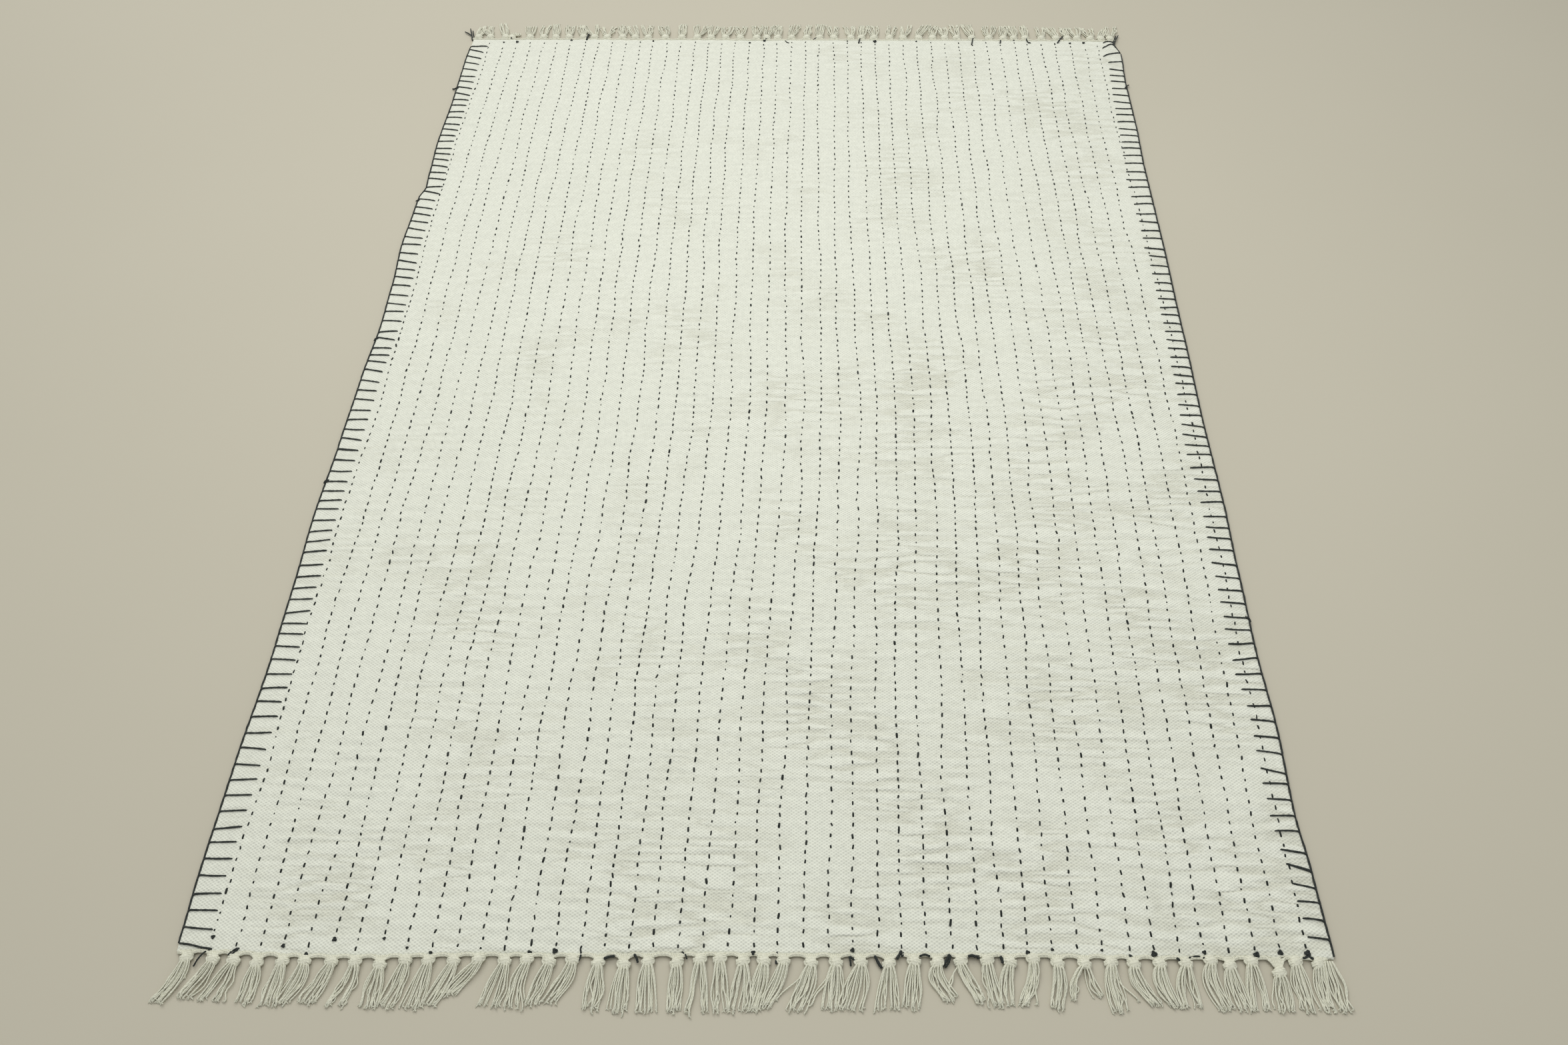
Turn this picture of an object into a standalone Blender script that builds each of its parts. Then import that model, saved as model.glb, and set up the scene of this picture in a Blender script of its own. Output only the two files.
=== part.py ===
"""Dhurrie rug: a flat-woven cotton cloth with a knotted fringe at each end, lying on a floor.

The rug lies flat, with its width along X and its length along Y, and the origin is under its
middle, on the floor. The cloth is one solid, with the uneven edges of a hand-woven piece and a
few low ripples on its top. Each fringe is one solid beside the cloth's hem: a narrow strip of
gathered warp yarn, the knots tied in it, and three locks of loose yarn from each knot.
"""
import math
import random

import bmesh
import bpy

# Driving sizes, in metres
CLOTH_WIDTH = 1.400
CLOTH_LENGTH = 2.000
CLOTH_THICKNESS = 0.0040
TASSELS_AN_END = 48
FIRST_KNOT = -0.688
LAST_KNOT = 0.690
FRINGE_REACH = 0.0610
FRINGE_GAP = 0.0003

# The cloth's grid of faces
CELLS_ACROSS = 16
CELLS_ALONG = 80

# How far each edge strays from its straight line, read at places along that line
LEFT_EDGE = (  # along, shift
    (-1.000, -0.002), (-0.900, -0.004), (-0.750, -0.003), (-0.600, 0.001), (-0.460, 0.000),
    (-0.330, -0.003), (-0.180, 0.001), (-0.030, 0.003), (0.100, 0.008), (0.200, 0.006),
    (0.320, 0.000), (0.420, 0.003), (0.530, 0.008), (0.630, 0.007), (0.780, 0.011),
    (0.930, 0.011), (1.000, 0.014),
)
RIGHT_EDGE = (  # along, shift
    (-1.000, 0.001), (-0.890, -0.001), (-0.810, -0.005), (-0.680, -0.001), (-0.560, -0.004),
    (-0.420, -0.002), (-0.290, 0.001), (-0.130, 0.000), (0.090, 0.003), (0.340, 0.006),
    (0.540, 0.006), (0.700, 0.010), (0.830, 0.010), (0.940, 0.015), (1.000, 0.004),
)
NEAR_HEM = (  # across, shift
    (-0.700, -0.004), (-0.510, -0.007), (-0.300, -0.005), (0.040, 0.000), (0.300, 0.003),
    (0.500, 0.005), (0.700, 0.008),
)
FAR_HEM = (  # across, shift
    (-0.700, 0.009), (-0.500, 0.008), (-0.260, 0.005), (0.000, 0.002), (0.320, -0.001),
    (0.600, -0.005), (0.700, -0.008),
)

# Low ripples across the cloth: middle, half of the length, height and drift along its length
RIPPLE_REACH = 0.022
RIPPLES = (  # along, across, half_length, height, slant
    (0.490, 0.390, 0.200, 0.0008, -0.04),
    (0.330, 0.420, 0.130, 0.0009, -0.06),
    (0.010, 0.330, 0.360, 0.0011, 0.02),
    (-0.110, 0.240, 0.150, 0.0007, 0.05),
    (-0.190, 0.590, 0.110, 0.0009, -0.03),
    (-0.310, -0.010, 0.220, 0.0007, 0.04),
    (-0.390, 0.060, 0.260, 0.0008, 0.03),
    (-0.500, 0.610, 0.100, 0.0010, 0.02),
    (-0.570, 0.340, 0.190, 0.0011, -0.02),
    (-0.670, 0.480, 0.160, 0.0010, 0.05),
    (-0.790, 0.560, 0.150, 0.0011, -0.04),
    (-0.860, 0.300, 0.220, 0.0012, 0.03),
    (-0.700, -0.420, 0.180, 0.0006, 0.03),
)

# Which way the tassels fall, and how wide they spread, at places across each end
NEAR_FALL = (  # across, lean, spread
    (-0.700, -0.016, 0.008), (-0.640, -0.016, 0.010), (-0.585, -0.003, 0.009),
    (-0.530, -0.016, 0.009), (-0.450, -0.006, 0.010), (-0.380, -0.010, 0.010),
    (-0.331, -0.030, 0.008), (-0.300, -0.004, 0.013), (-0.217, -0.016, 0.009),
    (-0.180, -0.002, 0.009), (-0.060, 0.000, 0.012), (-0.010, 0.008, 0.011),
    (0.042, -0.020, 0.010), (0.105, -0.002, 0.016), (0.190, -0.006, 0.012),
    (0.235, 0.020, 0.008), (0.290, 0.004, 0.010), (0.355, -0.011, 0.011),
    (0.402, 0.004, 0.015), (0.461, 0.018, 0.010), (0.530, 0.004, 0.012),
    (0.610, 0.001, 0.010), (0.700, 0.003, 0.009),
)
FAR_FALL = (  # across, lean, spread
    (-0.700, 0.000, 0.014), (-0.640, -0.022, 0.010), (-0.560, -0.008, 0.010),
    (-0.500, -0.008, 0.012), (-0.418, -0.028, 0.010), (-0.380, -0.006, 0.012),
    (-0.300, -0.019, 0.010), (-0.250, -0.008, 0.010), (-0.190, 0.002, 0.015),
    (-0.120, -0.004, 0.014), (-0.020, 0.000, 0.010), (0.030, 0.006, 0.011),
    (0.105, -0.008, 0.013), (0.180, -0.003, 0.011), (0.240, 0.006, 0.010),
    (0.288, 0.017, 0.010), (0.340, 0.000, 0.012), (0.405, -0.010, 0.008),
    (0.470, 0.002, 0.012), (0.583, -0.009, 0.011), (0.640, -0.003, 0.013),
    (0.700, 0.008, 0.014),
)

# The gathered strip, in how far it stands out from the hem and how high it is
STRIP_HEIGHT = 0.0036
VALLEY_OUT = 0.0030
VALLEY_HEIGHT = 0.0026

# One knot, from the strip outwards
KNOT_RINGS = (  # out, half_width, side_height, top_height
    (0.0075, 0.0060, 0.0046, 0.0056),
    (0.0128, 0.0070, 0.0078, 0.0096),
    (0.0180, 0.0060, 0.0056, 0.0064),
)

# One lock, from its root in the knot to its cut tip
LOCKS_A_TASSEL = 3
LOCK_SECTIONS = (  # share, half_width, height
    (0.34, 0.0021, 0.0058),
    (0.68, 0.0024, 0.0046),
    (1.00, 0.0028, 0.0026),
)
LOCK_CLEARANCE = 0.0006
REACH_JITTER = 0.0030
KNOT_JITTER = 0.0020
LEAN_JITTER = 0.0030

COTTON_CLOTH = ("cotton cloth", (0.80, 0.79, 0.71), 0.95)
COTTON_YARN = ("cotton yarn", (0.62, 0.60, 0.50), 0.95)


def read_table(table, at, column):
    """The value of one column at a place, eased between the rows on either side of it."""
    if at <= table[0][0]:
        return table[0][column]
    for before, after in zip(table, table[1:]):
        if at <= after[0]:
            share = (at - before[0]) / (after[0] - before[0])
            eased = share * share * (3.0 - 2.0 * share)
            return before[column] + (after[column] - before[column]) * eased
    return table[-1][column]


def cloth_point(share_across, share_along):
    """A point of the cloth's outline or inside it, from shares of its width and length."""
    across = (share_across - 0.5) * CLOTH_WIDTH
    along = (share_along - 0.5) * CLOTH_LENGTH
    left = read_table(LEFT_EDGE, along, 1)
    right = read_table(RIGHT_EDGE, along, 1)
    near = read_table(NEAR_HEM, across, 1)
    far = read_table(FAR_HEM, across, 1)
    x = across + left + (right - left) * share_across
    y = along + near + (far - near) * share_along
    return x, y


def hem_line(across, side):
    """The Y of the cloth's hem at a place across: side is -1 for the near end, 1 for the far."""
    end = 0.0 if side < 0 else 1.0
    left_corner = cloth_point(0.0, end)[0]
    right_corner = cloth_point(1.0, end)[0]
    share = (across - left_corner) / (right_corner - left_corner)
    cells = min(max(share, 0.0), 1.0) * CELLS_ACROSS
    column = min(int(cells), CELLS_ACROSS - 1)
    before = cloth_point(column / CELLS_ACROSS, end)[1]
    after = cloth_point((column + 1) / CELLS_ACROSS, end)[1]
    return before + (after - before) * (cells - column)


def ripple_height(x, y):
    """How far the ripples lift the cloth's top at a place."""
    height = 0.0
    for along, across, half_length, peak, slant in RIPPLES:
        off_crest = (y - along - slant * (x - across)) / RIPPLE_REACH
        off_middle = (x - across) / half_length
        height += peak * math.exp(-off_crest ** 2 - off_middle ** 4)
    return height


def principled(name, colour, roughness):
    """A plain finish for one of the yarns."""
    material = bpy.data.materials.new(name)
    material.use_nodes = True
    shader = material.node_tree.nodes["Principled BSDF"]
    shader.inputs["Base Color"].default_value = (*colour, 1.0)
    shader.inputs["Roughness"].default_value = roughness
    shader.inputs["Metallic"].default_value = 0.0
    return material


def add_object(name, mesh_faces, material):
    """Make an object from a filled bmesh, with all of its faces turned outwards."""
    bmesh.ops.recalc_face_normals(mesh_faces, faces=mesh_faces.faces)
    mesh = bpy.data.meshes.new(name)
    mesh_faces.to_mesh(mesh)
    mesh_faces.free()
    mesh.materials.append(material)
    part = bpy.data.objects.new(name, mesh)
    bpy.context.scene.collection.objects.link(part)
    return part


def make_cloth(material):
    """The woven cloth: a rippled top, a flat underside and the uneven outline between them."""
    cloth = bmesh.new()
    top = []
    bottom = {}
    for row in range(CELLS_ALONG + 1):
        line = []
        for column in range(CELLS_ACROSS + 1):
            x, y = cloth_point(column / CELLS_ACROSS, row / CELLS_ALONG)
            line.append(cloth.verts.new((x, y, CLOTH_THICKNESS + ripple_height(x, y))))
            if row in (0, CELLS_ALONG) or column in (0, CELLS_ACROSS):
                bottom[row, column] = cloth.verts.new((x, y, 0.0))
        top.append(line)
    for row in range(CELLS_ALONG):
        for column in range(CELLS_ACROSS):
            cloth.faces.new((top[row][column], top[row][column + 1],
                             top[row + 1][column + 1], top[row + 1][column]))
    for row in range(CELLS_ALONG):
        for column in (0, CELLS_ACROSS):
            cloth.faces.new((bottom[row, column], bottom[row + 1, column],
                             top[row + 1][column], top[row][column]))
    for column in range(CELLS_ACROSS):
        for row in (0, CELLS_ALONG):
            cloth.faces.new((bottom[row, column], bottom[row, column + 1],
                             top[row][column + 1], top[row][column]))
    for row in range(CELLS_ALONG):
        first = [bottom[row, column] for column in range(CELLS_ACROSS + 1)
                 if (row, column) in bottom]
        second = [bottom[row + 1, column] for column in range(CELLS_ACROSS + 1)
                  if (row + 1, column) in bottom]
        cloth.faces.new(first + second[::-1])
    return add_object("cloth", cloth, material)


def plan_tassels(fall, seed):
    """Each tassel's knot and the tips of its locks, as (knot, [(tip, reach), ...])."""
    dice = random.Random(seed)
    pitch = (LAST_KNOT - FIRST_KNOT) / (TASSELS_AN_END - 1)
    tassels = []
    for number in range(TASSELS_AN_END):
        knot = FIRST_KNOT + pitch * number + dice.uniform(-KNOT_JITTER, KNOT_JITTER)
        lean = read_table(fall, knot, 1) + dice.uniform(-LEAN_JITTER, LEAN_JITTER)
        spread = read_table(fall, knot, 2)
        tips = []
        for lock in range(LOCKS_A_TASSEL):
            step = lock - (LOCKS_A_TASSEL - 1) / 2
            reach = FRINGE_REACH + dice.uniform(-REACH_JITTER, REACH_JITTER)
            tips.append([knot + lean + spread * step, reach])
        tassels.append((knot, tips))
    part_tips([tip for _, tips in tassels for tip in tips])
    return tassels


def part_tips(tips):
    """Move neighbouring tips apart, half each, until every lock lies clear of the next."""
    room = 2 * LOCK_SECTIONS[-1][1] + LOCK_CLEARANCE
    settled = False
    while not settled:
        settled = True
        for left, right in zip(tips, tips[1:]):
            short = room - (right[0] - left[0])
            if short > 1e-6:
                left[0] -= short / 2
                right[0] += short / 2
                settled = False


def make_fringe(name, side, fall, seed, material):
    """A fringe: its strip, knots and locks in one closed mesh."""
    fringe = bmesh.new()

    def place(across, out, height):
        """A point of the fringe, from its place across the rug and outwards from the hem."""
        return fringe.verts.new((across, hem_line(across, side) + side * out, height))

    def valley(across):
        """The thin part of the strip between two knots, as inner and outer edges."""
        return {
            "inner_top": place(across, FRINGE_GAP, STRIP_HEIGHT),
            "inner_foot": place(across, FRINGE_GAP, 0.0),
            "outer_top": place(across, VALLEY_OUT, VALLEY_HEIGHT),
            "outer_foot": place(across, VALLEY_OUT, 0.0),
        }

    def knot_ring(knot, ring, whole_foot):
        """One ring of a knot: its foot on the floor and the three points of its crown."""
        out, half_width, side_height, top_height = ring
        step = 2 * half_width / LOCKS_A_TASSEL
        shares = range(LOCKS_A_TASSEL + 1) if whole_foot else (0, LOCKS_A_TASSEL)
        foot = [place(knot - half_width + step * share, out, 0.0) for share in shares]
        crown = [place(knot - step, out, side_height),
                 place(knot, out, top_height),
                 place(knot + step, out, side_height)]
        return foot, crown

    def lock(root, knot, out, middle, tip, reach):
        """A lock: a three-sided bunch that lies on the floor from its root to its tip."""
        last = root
        for share, half_width, height in LOCK_SECTIONS:
            centre = knot + middle + (tip - knot - middle) * share
            way = out + (reach - out) * share
            section = [place(centre - half_width, way, 0.0),
                       place(centre + half_width, way, 0.0),
                       place(centre, way, height)]
            for corner in range(3):
                after = (corner + 1) % 3
                fringe.faces.new((last[corner], last[after], section[after], section[corner]))
            last = section
        fringe.faces.new(last)

    tassels = plan_tassels(fall, seed)
    knots = [knot for knot, _ in tassels]
    half_pitch = (LAST_KNOT - FIRST_KNOT) / (TASSELS_AN_END - 1) / 2
    middles = [(left + right) / 2 for left, right in zip(knots, knots[1:])]
    ends = [knots[0] - half_pitch * 0.8] + middles + [knots[-1] + half_pitch * 0.8]
    valleys = [valley(across) for across in ends]
    for end in (valleys[0], valleys[-1]):
        fringe.faces.new((end["inner_foot"], end["outer_foot"], end["outer_top"], end["inner_top"]))

    for (knot, tips), before, after in zip(tassels, valleys, valleys[1:]):
        inner_top = place(knot, FRINGE_GAP, STRIP_HEIGHT)
        inner_foot = place(knot, FRINGE_GAP, 0.0)
        rings = [knot_ring(knot, ring, ring is KNOT_RINGS[-1]) for ring in KNOT_RINGS]
        outlines = [[foot[0]] + crown + [foot[-1]] for foot, crown in rings]
        root_foot, root_crown = rings[-1]
        first, last = outlines[0], outlines[-1]

        fringe.faces.new((before["inner_top"], inner_top, first[1], before["outer_top"]))
        fringe.faces.new((inner_top, after["inner_top"], after["outer_top"], first[3]))
        fringe.faces.new((inner_top, first[2], first[1]))
        fringe.faces.new((inner_top, first[3], first[2]))
        fringe.faces.new((before["outer_top"], first[1], first[0], before["outer_foot"]))
        fringe.faces.new((after["outer_top"], after["outer_foot"], first[4], first[3]))
        fringe.faces.new((before["inner_foot"], inner_foot, inner_top, before["inner_top"]))
        fringe.faces.new((inner_foot, after["inner_foot"], after["inner_top"], inner_top))
        for near_ring, far_ring in zip(outlines, outlines[1:]):
            for point in range(len(near_ring) - 1):
                fringe.faces.new((near_ring[point], near_ring[point + 1],
                                  far_ring[point + 1], far_ring[point]))
        left_feet = [outline[0] for outline in outlines[:-1]]
        right_feet = [outline[-1] for outline in outlines[:-1]]
        fringe.faces.new([before["inner_foot"], inner_foot, after["inner_foot"],
                          after["outer_foot"]] + right_feet + root_foot[::-1]
                         + left_feet[::-1] + [before["outer_foot"]])
        for gap in range(LOCKS_A_TASSEL - 1):
            fringe.faces.new((root_crown[gap], root_foot[gap + 1], root_crown[gap + 1]))
        out, half_width = KNOT_RINGS[-1][:2]
        step = 2 * half_width / LOCKS_A_TASSEL
        for number, (tip, reach) in enumerate(tips):
            root = (root_foot[number], root_foot[number + 1], root_crown[number])
            middle = step * (number - (LOCKS_A_TASSEL - 1) / 2)
            lock(root, knot, out, middle, tip, reach)
    return add_object(name, fringe, material)


def main():
    for old in list(bpy.data.objects):
        bpy.data.objects.remove(old, do_unlink=True)
    make_cloth(principled(*COTTON_CLOTH))
    yarn = principled(*COTTON_YARN)
    make_fringe("fringe_near", -1, NEAR_FALL, 11, yarn)
    make_fringe("fringe_far", 1, FAR_FALL, 23, yarn.copy())


main()
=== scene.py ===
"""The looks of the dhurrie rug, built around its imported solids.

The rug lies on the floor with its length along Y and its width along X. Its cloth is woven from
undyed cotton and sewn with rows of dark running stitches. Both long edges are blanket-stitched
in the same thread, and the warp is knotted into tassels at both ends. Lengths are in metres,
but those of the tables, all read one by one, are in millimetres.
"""

import math
import random

import bpy
import numpy as np
from mathutils import Matrix, Vector


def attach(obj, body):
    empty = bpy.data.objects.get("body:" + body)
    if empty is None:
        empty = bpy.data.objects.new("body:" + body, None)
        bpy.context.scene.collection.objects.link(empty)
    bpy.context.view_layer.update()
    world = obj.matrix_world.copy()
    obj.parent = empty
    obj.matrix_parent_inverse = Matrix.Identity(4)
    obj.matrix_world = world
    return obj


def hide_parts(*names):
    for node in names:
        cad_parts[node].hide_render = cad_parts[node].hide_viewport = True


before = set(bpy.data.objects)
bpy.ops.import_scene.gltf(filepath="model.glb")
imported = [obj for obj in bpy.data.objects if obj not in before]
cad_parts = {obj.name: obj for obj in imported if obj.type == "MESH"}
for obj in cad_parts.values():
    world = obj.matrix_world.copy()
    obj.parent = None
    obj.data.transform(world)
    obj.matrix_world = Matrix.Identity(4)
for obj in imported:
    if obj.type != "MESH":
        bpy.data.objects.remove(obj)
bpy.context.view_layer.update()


def metres(value):
    """A length in millimetres as metres, and so for all the lengths of a table."""
    return tuple(metres(part) for part in value) if isinstance(value, tuple) else value / 1000


# The cloth, as the solid has it
CLOTH_WIDTH = 1.400
CLOTH_LENGTH = 2.000
CLOTH_THICKNESS = 0.0040

LEFT_EDGE = metres((  # along, shift
    (-1000, -2), (-900, -4), (-750, -3), (-600, 1), (-460, 0), (-330, -3), (-180, 1), (-30, 3),
    (100, 8), (200, 6), (320, 0), (420, 3), (455, 4), (488, 12), (530, 10), (630, 7), (780, 11),
    (930, 11), (1000, 14),
))
RIGHT_EDGE = metres((  # along, shift
    (-1000, 1), (-890, -1), (-810, -5), (-680, -1), (-560, -4), (-420, -2), (-290, 1), (-130, 0),
    (90, 3), (340, 6), (540, 6), (700, 10), (830, 10), (940, 15), (1000, 4),
))
NEAR_HEM = metres((  # across, shift
    (-700, -8), (-510, -12), (-300, -6.5), (40, -1), (300, 2.5), (500, 3), (700, 5),
))
FAR_HEM = metres((  # across, shift
    (-700, 9), (-500, 8), (-260, 5), (0, 2), (320, -1), (600, -5), (700, -8),
))
WARP_PITCH = 0.0061
WEFT_PITCH = 0.0022
LUMP_HEIGHT = 0.00025
CRINKLE_HEIGHT = 0.0013
ROW_HOLLOW = 0.00018
EDGE_ROUNDING = 0.0016
RIPPLE_REACH = 0.022
CREST_REACH = 0.0065
RIPPLES = metres((  # along, across, half length, height, slant to the metre
    (490, 390, 200, 0.8, -40), (330, 420, 130, 0.9, -60), (10, 330, 360, 1.1, 20),
    (-110, 240, 150, 0.7, 50), (-190, 590, 110, 0.9, -30), (-310, -10, 220, 0.7, 40),
    (-390, 60, 260, 0.8, 30), (-500, 610, 100, 1, 20), (-570, 340, 190, 1.1, -20),
    (-670, 480, 160, 1, 50), (-790, 560, 150, 1.1, -40), (-860, 300, 220, 1.2, 30),
    (-700, -420, 180, 0.6, 30),
))

# The tassels, each as it lies. A knot that is less than three out stands for yarn that isn't
# knotted. A bow carries the skirt's middle to the right, and parted is the share of the skirt
# that its middle leaves bare. A row leaves out the zeros that would end it.
NEAR_TASSELS = (  # knot, out, left tip, right tip, reach, bow, parted
    (-687, 8, -714, -696, 61, 4), (-654, 8, -686, -669, 55, 2), (-628, 9, -658, -631, 57, 0, 0.4),
    (-599, 11, -612, -593, 58, 1), (-568, 8, -583, -563, 59), (-541, 6, -568, -547, 55, 5),
    (-508, 6, -539, -514, 55, 1), (-479, 6, -505, -480, 57, 4, 0.3), (-448, 10, -463, -441, 60),
    (-418, 5, -441, -422, 59, 2), (-390, 6, -412, -387, 62), (-359, 7, -388, -371, 59, 1),
    (-329, 5, -369, -350, 47), (-297, 7, -321, -295, 60, 0, 0.2), (-270, 5, -291, -266, 61, -5),
    (-243, 7, -265, -250, 59), (-215, 5, -247, -229, 55, 4), (-183, 9, -196, -176, 64),
    (-152, 11, -165, -145, 66), (-123, 8, -133, -110, 66, -1), (-88, 10, -98, -81, 66, 1),
    (-60, 6, -75, -48, 68, 0, 0.5), (-36, 5, -42, -22, 66, 0, 0.2), (-8, 8, -24, 0, 67, 1, 0.2),
    (17, 7, 1, 14, 65, 1), (41, 7, 14, 29, 60, 3), (74, 9, 47, 66, 64, 2), (104, 8, 89, 110, 63),
    (134, 8, 107, 138, 63, 1), (168, 10, 152, 178, 64, 0, 0.3), (198, 7, 183, 205, 61),
    (226, 9, 232, 248, 53, -9), (254, 7, 269, 281, 54, -2), (286, 6, 288, 299, 60, -2),
    (313, 7, 300, 315, 57, -4), (341, 4, 320, 331, 58, 5), (370, 8, 357, 371, 61, 3),
    (402, 8, 381, 420, 48, -4, 0.5), (434, 7, 429, 446, 64, -3), (461, 8, 474, 488, 55, -7),
    (492, 7, 494, 510, 56, -7), (523, 6, 511, 534, 57, -4, 0.3), (553, 3, 555, 568, 60, -8),
    (575, 9, 572, 592, 59, -3), (601, 4, 590, 613, 59, 0, 0.4), (632, 17, 620, 642, 61),
    (654, 4, 650, 669, 62, -2), (681, 6, 676, 688, 62, -4), (692, 1, 690, 706, 60),
)
NEAR_STRAYS = metres((  # knot, out, tip, reach, bow
    (74, 9, 33, 52, 2), (104, 8, 71, 54, 1), (104, 8, 73, 58, 2), (254, 7, 239, 38, -3),
    (254, 7, 240, 44, -4), (341, 4, 340, 55, 2), (434, 7, 461, 50, -6), (-687, 8, -683, 30, 0),
))
FAR_TASSELS = (  # knot, out, left tip, right tip, reach, bow, parted
    (-676, 8, -684, -668, 50), (-650, 8, -674, -652, 56, -2), (-616, 8, -636, -625, 65, 0, 0.3),
    (-602, 7, -608, -590, 26, 6), (-562, 8, -576, -554, 54, 0, 0.2),
    (-532, 8, -541, -523, 56, -3, 0.4), (-505, 8, -516, -505, 61),
    (-476, 8, -488, -468, 54, 0, 0.2), (-444, 8, -464, -448, 56),
    (-420, 8, -454, -416, 58, 0, 0.5), (-392, 8, -410, -378, 50, 0, 0.4),
    (-358, 8, -372, -354, 56), (-330, 8, -353, -331, 57, 0, 0.2),
    (-302, 8, -322, -297, 57, 0, 0.3), (-264, 8, -284, -259, 56, 0, 0.2),
    (-228, 8, -235, -223, 61), (-194, 8, -203, -174, 57, 3, 0.2),
    (-164, 8, -171, -148, 55, 0, 0.3), (-132, 8, -142, -116, 54, 0, 0.3),
    (-100, 8, -113, -86, 52, 0, 0.3), (-64, 8, -77, -52, 57, 0, 0.2),
    (-42, 8, -48, -28, 57, 0, 0.2), (-18, 8, -25, -11, 57), (12, 8, 9, 31, 58, 0, 0.2),
    (45, 8, 43, 55, 58, 0, 0.3), (73, 8, 66, 82, 62), (104, 8, 87, 114, 56, 0, 0.2),
    (141, 8, 126, 152, 54, 0, 0.2), (164, 8, 159, 176, 58, 0, 0.3), (191, 8, 178, 200, 57),
    (225, 8, 223, 240, 56, 0, 0.4), (254, 8, 248, 273, 58, 3, 0.3), (288, 8, 297, 316, 61, -2),
    (318, 8, 315, 330, 56), (344, 8, 332, 351, 52, 0, 0.3), (370, 8, 357, 377, 60),
    (403, 8, 384, 402, 61, 0, 0.3), (440, 8, 427, 461, 56, 0, 0.2), (471, 8, 465, 480, 56),
    (493, 8, 482, 498, 58), (518, 8, 511, 524, 58), (553, 8, 545, 562, 52, 0, 0.3),
    (584, 8, 562, 583, 52, 0, 0.2), (608, 8, 597, 610, 50, -2), (629, 8, 613, 640, 52, 0, 0.3),
    (658, 8, 640, 668, 50, 0, 0.3), (680, 8, 684, 695, 46), (700, 8, 692, 720, 56, 0, 0.2),
)
KNOT_HALF_LENGTH = 0.0058
KNOT_HALF_WIDTH = 0.0084
KNOT_HEIGHT = 0.0088
KNOT_TURNS = 4
SKIRT_YARNS = 12
GATHER_YARNS = 13
YARN_RADIUS = 0.00094
HEM_BAY = 0.0022

# The rows of running stitches: where they start, how they drift and what a stitch measures
STITCH_ROWS = 45
FIRST_ROW = -0.663
ROW_PITCH = 0.0302
ROW_DRIFT = metres((  # along, left, middle, right
    (-1000, 2, 2, 3), (-650, 3, 5, 8), (-500, 3, 9, 10), (-330, 6, 17, 12), (-100, 10, 22, 13),
    (150, 9, 17, 12), (400, 8, 12, 9), (700, 10, 11, 3), (1000, 16, 11, 4),
))
STITCH_PITCH = 0.0152
STITCH_LENGTH = 0.0060
STITCH_WIDTH = 0.0023
SHORTEST_STITCH = 0.0038
NARROWEST_STITCH = 0.0014
SHORTEST_STEP = 0.0098
ROW_MARGIN = (0.008, 0.013)

# The blanket stitch: where each bar leaves the edge, and how much further along the rug it goes
# into the cloth
LEFT_BARS = metres((  # root, rise
    (-978, -3), (-957, 0), (-936, 1), (-911, -1), (-889, 0), (-867, 1), (-849, 4), (-824, 2),
    (-801, 1), (-779, 2), (-755, -2), (-730, -3), (-708, 1), (-683, 1), (-658, -1), (-638, 2),
    (-614, 0), (-589, -2), (-567, -2), (-546, -1), (-529, 0), (-511, 5), (-486, 1), (-467, 3),
    (-446, 3), (-424, 2), (-400, 4), (-380, 5), (-361, 4), (-338, 1), (-315, 0), (-299, 2),
    (-279, 0), (-260, 0), (-237, -1), (-213, -3), (-190, -4), (-166, -6), (-147, -2), (-127, 1),
    (-105, -1), (-79, -4), (-58, -3), (-35, -6), (-9, -7), (11, -5), (25, -1), (42, -1), (69, -7),
    (81, 3), (111, -2), (135, -1), (157, -6), (179, -4), (204, -3), (228, -6), (249, -5),
    (273, -9), (294, -5), (317, -2), (340, -6), (365, -9), (386, -7), (408, -8), (427, -7),
    (451, -6), (476, -10), (487, 2), (516, -6), (535, -3), (557, -7), (578, -6), (596, -4),
    (612, -1), (635, 0), (656, -3), (678, -6), (695, -4), (717, -2), (736, 0), (760, -2),
    (780, -3), (805, -11), (827, -8), (849, -7), (866, -3), (894, -8), (919, -10), (943, -12),
    (967, -12),
))
RIGHT_BARS = metres((  # root, rise
    (-972, 3), (-949, 3), (-926, 2), (-908, 7), (-885, 9), (-862, 5), (-832, 0), (-811, 0),
    (-789, 2), (-766, 1), (-751, 8), (-722, 5), (-698, 3), (-673, 3), (-648, -1), (-624, 1),
    (-597, -2), (-571, -5), (-547, -2), (-525, 1), (-505, 2), (-481, 4), (-458, 3), (-435, 4),
    (-411, 5), (-384, 2), (-362, 3), (-341, 2), (-319, 0), (-290, -1), (-269, 0), (-246, 2),
    (-220, -1), (-194, 0), (-176, 3), (-157, 7), (-135, 7), (-109, 1), (-89, 4), (-63, 1),
    (-38, 2), (-20, 4), (-1, 4), (24, 1), (44, 3), (64, 4), (87, 1), (106, 3), (128, 3),
    (149, -1), (169, 3), (190, 3), (210, 3), (236, 1), (256, 4), (282, 4), (303, 5), (334, 1),
    (356, 1), (380, 4), (406, 0), (435, -1), (458, -1), (486, -1), (508, 1), (532, 1), (560, 0),
    (585, 0), (608, 1), (628, 1), (649, 3), (669, 5), (696, 0), (720, 1), (742, 0), (761, 5),
    (786, 5), (812, 1), (836, 3), (858, 2), (878, 5), (911, -3),
))
DOUBLED_BARS = metres((-936, -213, -190, -885))
LEFT_REACH = metres((  # along, a bar's length
    (-1000, 38), (-900, 36), (-200, 35), (0, 33), (300, 35), (600, 32), (970, 32),
))
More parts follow.
